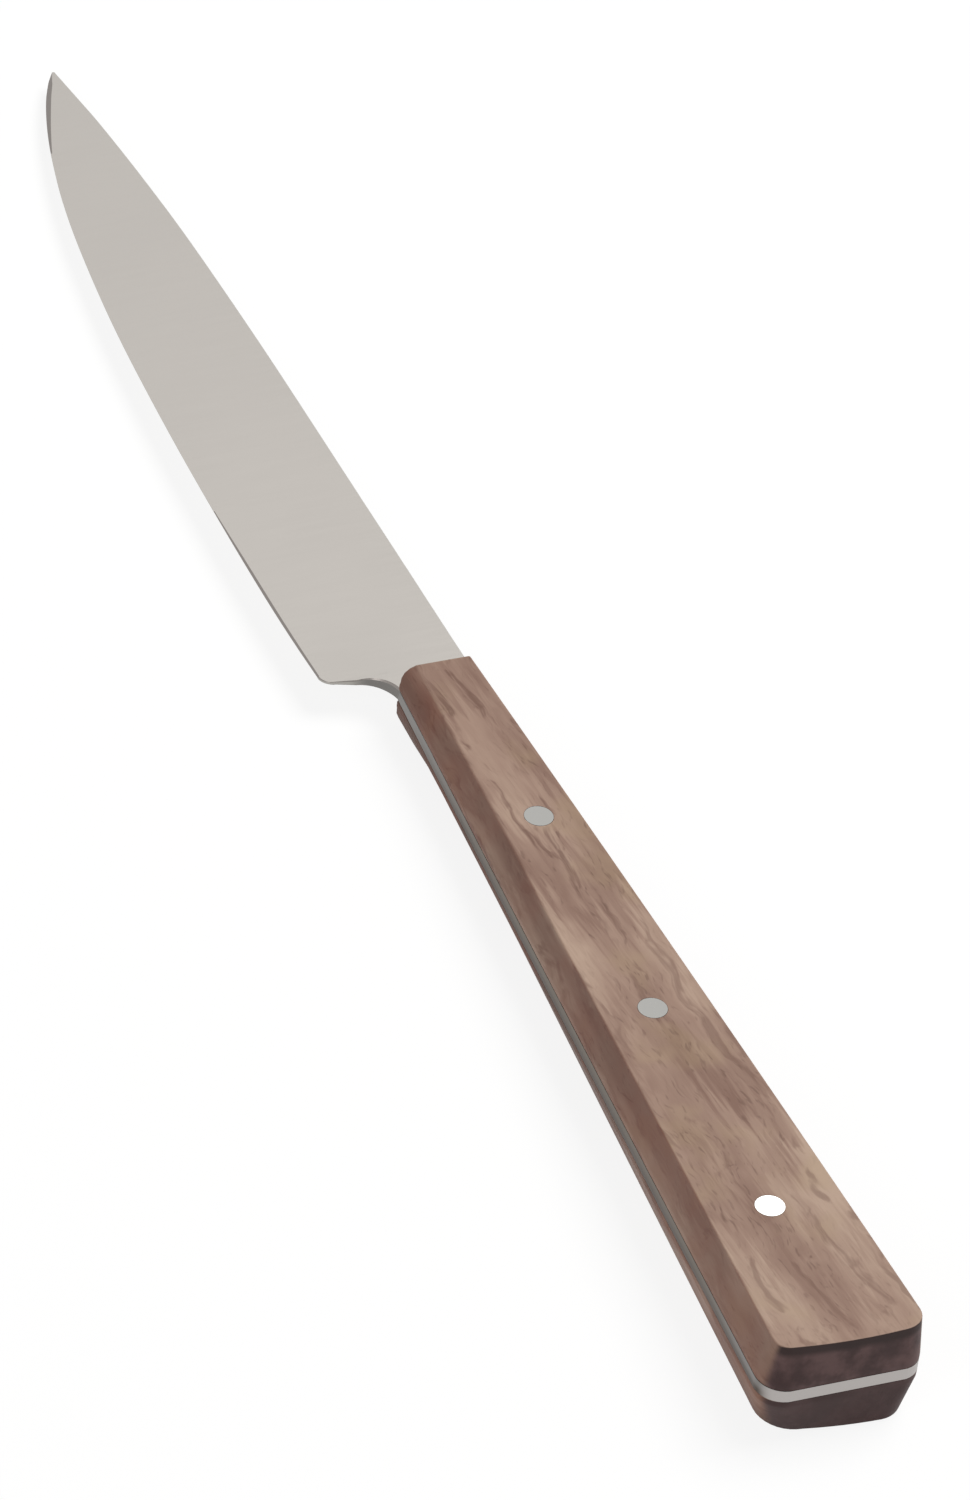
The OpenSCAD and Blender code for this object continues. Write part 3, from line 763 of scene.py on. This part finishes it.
def scaleOutline():
    # one face in the tang's outline: four corners, bowed sides, round butt corners
    bm = bmesh.new()
    edgeFront, edgeButt, edgeBow = knife["edgeSide"]
    spineFront, spineButt, spineBow = knife["spineSide"]
    corners = [bm.verts.new((x, y, halfSteel)) for x, y in (
        (0, -edgeFront), (handleLength, -edgeButt), (handleLength, spineButt), (0, spineFront))]
    bm.faces.new(corners)
    sides = [bm.edges.get((corners[0], corners[1])), bm.edges.get((corners[2], corners[3]))]
    bmesh.ops.bisect_edges(bm, edges=sides, cuts=scale["sideSteps"])
    for v in bm.verts:
        t = v.co.x / handleLength
        v.co.y += 4 * (-edgeBow if v.co.y < 0 else spineBow) * t * (1 - t)
    for y, radius in ((-edgeButt, knife["edgeCorner"]), (spineButt, knife["spineCorner"])):
        place = Vector((handleLength, y, halfSteel))
        corner = min(bm.verts, key=lambda v: (v.co - place).length)
        bmesh.ops.bevel(bm, geom=[corner], offset=radius, offset_type="OFFSET",
                        segments=scale["cornerSteps"], profile=0.5, affect="VERTICES", material=-1)
    # the butt's straight end is the longest of the edges that lie furthest back
    end = max(bm.edges, key=lambda e: min(v.co.x for v in e.verts) + 0.01 * e.calc_length())
    bmesh.ops.bisect_edges(bm, edges=[end], cuts=scale["endSteps"])
    bm.faces.ensure_lookup_table()
    return bm, bm.faces[0]


def raised(bm, face, place):
    # lifts a face to its next level, each corner to its own place
    out = bmesh.ops.extrude_face_region(bm, geom=[face] + list(face.edges))["geom"]
    top = next(g for g in out if isinstance(g, bmesh.types.BMFace))
    for v in top.verts:
        v.co = place(v.co.x, v.co.y)
    return top


def swellFront(bm, foot, top):
    # bows the edge side's facet outward near the front
    slanted = [e for e in bm.edges if (e.verts[0] in foot and e.verts[1] in top)
               or (e.verts[1] in foot and e.verts[0] in top)]
    cut = bmesh.ops.subdivide_edges(bm, edges=slanted, cuts=scale["swellCuts"])["geom_inner"]
    run = scale["swellRun"]
    for v in cut:
        if not isinstance(v, bmesh.types.BMVert) or v.co.y > 0 or v.co.x > run:
            continue
        low = bandPlace(v.co.x, v.co.y).z
        t = (v.co.z - low) / (halfHeight(v.co.x) - low)
        swell = scale["frontSwell"] * 4 * t * (1 - t) * (1 - smoothStep(v.co.x / run))
        v.co += Vector(scale["swellLean"]) * swell


def makeScale(name, nodeName, material, shape, below):
    bm, foot = scaleOutline()
    band = raised(bm, foot, bandPlace)
    crease = [e for e in band.edges if any(v.co.x > nearly for v in e.verts)]
    bandTop = set(band.verts)
    flat = raised(bm, band, lambda x, y: ridgePlace(x, y, shape))
    ridges = list(flat.edges)
    swellFront(bm, bandTop, set(flat.verts))
    joint = [e for e in bm.edges if all(abs(v.co.z - halfSteel) < nearly for v in e.verts)]
    frontSides = [e for e in bm.edges if all(v.co.x < nearly for v in e.verts)
                  and abs(e.verts[0].co.z - e.verts[1].co.z) > nearly]
    bmesh.ops.bevel(bm, geom=joint, offset=scale["jointBreak"], offset_type="OFFSET", segments=1,
                    profile=0.5, affect="EDGES", material=-1, clamp_overlap=True)
    rounds = [e for e in ridges + crease + frontSides if e.is_valid]
    bmesh.ops.bevel(bm, geom=rounds, offset=shape["round"], offset_type="OFFSET",
                    segments=scale["roundSegments"], profile=0.5, affect="EDGES", material=-1,
                    clamp_overlap=True)
    if below:
        bmesh.ops.scale(bm, vec=(1, 1, -1), verts=bm.verts)
    piece = addPiece(name, bm, [material], nodeName)
    drill(piece, below)
    shadeSmooth(piece, scale["creaseAngle"])


def drill(piece, below):
    # takes the three pin holes out of a scale, each with a broken mouth at the flat
    radius = (knife["pinDiameter"] + scale["pinPlay"]) / 2
    mouth, low = scale["holeBreak"], halfSteel - scale["cutterDip"]
    cutter = bmesh.new()
    for pinX in knife["pinPlaces"]:
        top = halfHeight(pinX)
        high = top + mouth * scale["mouthRise"]
        lathe(cutter, [(0, low), (radius, low), (radius, top - mouth),
                       (radius + mouth * scale["mouthWidth"], high), (0, high)], pinX)
    if below:
        bmesh.ops.scale(cutter, vec=(1, 1, -1), verts=cutter.verts)
    bmesh.ops.transform(cutter, matrix=tangToRow(), verts=cutter.verts)
    bmesh.ops.recalc_face_normals(cutter, faces=cutter.faces)
    mesh = bpy.data.meshes.new("holeCutter")
    cutter.to_mesh(mesh)
    cutter.free()
    tool = bpy.data.objects.new("holeCutter", mesh)
    bpy.context.scene.collection.objects.link(tool)
    cut = piece.modifiers.new("holes", "BOOLEAN")
    cut.operation, cut.solver, cut.object = "DIFFERENCE", "EXACT", tool
    bpy.context.view_layer.update()
    evaluated = piece.evaluated_get(bpy.context.evaluated_depsgraph_get())
    drilled = bpy.data.meshes.new_from_object(evaluated)
    piece.modifiers.clear()
    piece.data = drilled
    bpy.data.objects.remove(tool)


def lathe(bm, profile, pinX):
    # turns a profile of (radius, height) round a pin's axis, then leans its top with the flat
    verts = [bm.verts.new((pinX + r, 0, z)) for r, z in profile]
    edges = [bm.edges.new(pair) for pair in zip(verts, verts[1:])]
    before = set(bm.verts) - set(verts)
    bmesh.ops.spin(bm, geom=verts + edges, cent=(pinX, 0, 0), axis=(0, 0, 1), dvec=(0, 0, 0),
                   angle=math.tau, steps=knife["pinSides"], use_merge=True, use_duplicate=False)
    bmesh.ops.remove_doubles(bm, verts=[v for v in bm.verts if v not in before], dist=nearly)
    for v in bm.verts:
        if v not in before and v.co.z > halfSteel:
            v.co.z += (v.co.x - pinX) * flatSlope


# Pins: cross pins of bright steel rod, set through both scales and sanded flush, rims crisp
pin = {
    "ringShare": 0.5,        # of the radius, where the end face has an inner ring
    "creaseAngle": 15,
}


def makePin(name, nodeName, material, pinX):
    bm = bmesh.new()
    radius, top = knife["pinDiameter"] / 2, halfHeight(pinX)
    lathe(bm, [(0, top), (radius * pin["ringShare"], top), (radius, top), (radius, 0)], pinX)
    bmesh.ops.mirror(bm, geom=list(bm.verts) + list(bm.edges) + list(bm.faces), axis="Z",
                     merge_dist=nearly)
    bmesh.ops.remove_doubles(bm, verts=bm.verts, dist=nearly)
    piece = addPiece(name, bm, [material], nodeName)
    shadeSmooth(piece, pin["creaseAngle"])


bladeSteel = [
    makeSteel("satinStainless", steel["satin"], steel["linesAcross"]),
    makeSteel("groundStainlessEdge", steel["ground"], steel["linesAlong"], True),
    makeSteel("honedStainlessBevel", steel["honed"], steel["linesAcross"]),
]
pinMetal = makeSteel("sandedPinStainless", steel["pin"], steel["linesAlong"])
upperWood = makeWalnut("oiledWalnutUpper", upperBoard)
lowerWood = makeWalnut("oiledWalnutLower", lowerBoard)
print("materials made")

makeBlade(bladeSteel)
print("blade and tang made")
makeScale("upperScale", "upper_scale", upperWood, upperShape, False)
makeScale("lowerScale", "lower_scale", lowerWood, lowerShape, True)
print("scales made and drilled")
for pieceName, nodeName, pinX in zip(("frontPin", "middlePin", "rearPin"),
                                     ("front_pin", "middle_pin", "rear_pin"), knife["pinPlaces"]):
    makePin(pieceName, nodeName, pinMetal, pinX)
print("pins made")

# Floor, light and camera
studio = {
    "floorSize": 8.0,
    "floorColour": "#E8E7E5",
    "floorRoughness": 0.9,
    "floorSpecular": 0.1,
    "floorLift": 0.8,        # share of plain white that the camera sees over the floor's own shade
    "floorWhite": 1.08,
    "worldColour": "#F4F6FA",
    "worldLevel": 0.22,
    "keyPlace": (-0.25, 0.75, 1.35),
    "keySize": 0.9,
    "keyPower": 18.0,
    "fillPlace": (0.6, -0.9, 0.9),
    "fillSize": 0.8,
    "fillPower": 3.0,
    "cardAway": 0.2,         # of the small lamp that the rear pin mirrors
    "cardSize": 0.016,
    "cardPower": 0.0027,
}


def makeFloor():
    bm = bmesh.new()
    bmesh.ops.create_grid(bm, x_segments=1, y_segments=1, size=studio["floorSize"] / 2)
    mesh = bpy.data.meshes.new("floor")
    bm.to_mesh(mesh)
    bm.free()
    floor = bpy.data.objects.new("floor", mesh)
    bpy.context.scene.collection.objects.link(floor)
    material, tree, shader = newMaterial("paleStudioFloor")
    shader.inputs["Base Color"].default_value = linear(studio["floorColour"])
    shader.inputs["Roughness"].default_value = studio["floorRoughness"]
    shader.inputs["Specular IOR Level"].default_value = studio["floorSpecular"]
    lift = calc(tree, "MULTIPLY", seesBackdrop(tree), studio["floorLift"])
    white = addNode(tree, "ShaderNodeEmission", {
        "Color": grey(1.0), "Strength": studio["floorWhite"]})
    both = addNode(tree, "ShaderNodeMixShader", {
        0: lift, 1: shader.outputs["BSDF"], 2: white.outputs["Emission"]})
    output = next(n for n in tree.nodes if n.type == "OUTPUT_MATERIAL")
    tree.links.new(both.outputs["Shader"], output.inputs["Surface"])
    mesh.materials.append(material)


def seesBackdrop(tree):
    # 1 for rays from the camera and for reflections and refractions of them
    path = addNode(tree, "ShaderNodeLightPath").outputs
    glossy = calc(tree, "MAXIMUM", path["Is Glossy Ray"], path["Is Transmission Ray"])
    return calc(tree, "MAXIMUM", path["Is Camera Ray"], glossy)


def makeWorld():
    world = bpy.data.worlds.new("studio")
    world.use_nodes = True
    bpy.context.scene.world = world
    tree = world.node_tree
    tree.nodes.clear()
    room = addNode(tree, "ShaderNodeBackground", {
        "Color": linear(studio["worldColour"]), "Strength": studio["worldLevel"]})
    backdrop = addNode(tree, "ShaderNodeBackground", {"Color": grey(1.0), "Strength": 1.0})
    mix = addNode(tree, "ShaderNodeMixShader", {
        0: seesBackdrop(tree), 1: room.outputs["Background"], 2: backdrop.outputs["Background"]})
    addNode(tree, "ShaderNodeOutputWorld", {"Surface": mix.outputs["Shader"]})


def addSoftbox(name, place, size, power, target=(0, 0, 0)):
    light = bpy.data.lights.new(name, "AREA")
    light.shape, light.size, light.energy = "SQUARE", size, power
    softbox = bpy.data.objects.new(name, light)
    softbox.location = place
    softbox.rotation_euler = (Vector(target) - Vector(place)).to_track_quat("-Z", "Y").to_euler()
    bpy.context.scene.collection.objects.link(softbox)


def addPinCard():
    # a small lamp where the rear pin's top mirrors it into the camera
    toRow = tangToRow()
    pinX = knife["pinPlaces"][2]
    top = toRow @ Vector((pinX, 0, halfHeight(pinX)))
    up = (toRow.to_3x3() @ Vector((-flatSlope, 0, 1))).normalized()
    view = (Vector(camera["place"]) - top).normalized()
    mirrored = 2 * view.dot(up) * up - view
    addSoftbox("pinCard", top + mirrored * studio["cardAway"], studio["cardSize"],
               studio["cardPower"], top)


camera = {
    "place": (1.0223, -0.5328, 1.0254),
    "turn": (47.9176, -6.8915, 68.305),
    "lens": 342.5,
    "sensor": 36.0,
    "clip": (0.05, 30.0),
}


def makeCamera():
    data = bpy.data.cameras.new("camera")
    data.lens, data.sensor_width, data.sensor_fit = camera["lens"], camera["sensor"], "AUTO"
    data.clip_start, data.clip_end = camera["clip"]
    eye = bpy.data.objects.new("camera", data)
    eye.location = camera["place"]
    eye.rotation_euler = [math.radians(a) for a in camera["turn"]]
    bpy.context.scene.collection.objects.link(eye)
    bpy.context.scene.camera = eye


makeFloor()
makeWorld()
addSoftbox("key", studio["keyPlace"], studio["keySize"], studio["keyPower"])
addSoftbox("fill", studio["fillPlace"], studio["fillSize"], studio["fillPower"])
addPinCard()
makeCamera()
bpy.context.scene.view_settings.view_transform = "Standard"
print("floor, light and camera made")
